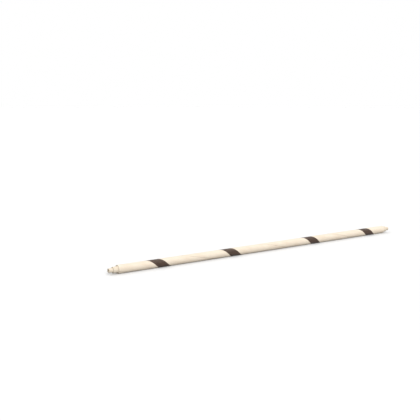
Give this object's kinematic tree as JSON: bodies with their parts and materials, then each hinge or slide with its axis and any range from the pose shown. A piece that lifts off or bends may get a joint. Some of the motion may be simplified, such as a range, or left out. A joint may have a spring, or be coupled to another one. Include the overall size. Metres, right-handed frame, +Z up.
{
  "type": "paper drinking straw",
  "caption": "Long slim drinking straw wound from cream paper strip, with stepped cut ends, a narrow bore, a helical butt seam and slanting brown bands.",
  "frame": {"origin": "on the ground under the middle of the straw as it lies on its narrow flat", "axes": "+X along the straw, +Z up, +Y across it"},
  "size_m": [0.225, 0.005, 0.005],
  "materials": {
    "inner_paper": "plain cream paper, matt",
    "middle_paper": "plain cream paper, matt",
    "outer_paper": "smooth cream paper, slightly calendered",
    "brown_print": "dark brown print on the outer paper, soft sheen"
  },
  "bodies": {
    "root": {"inner_ply": "inner_paper", "middle_ply": "middle_paper", "outer_ply": "outer_paper", "brown_bands": "brown_print"}
  },
  "joints": []
}
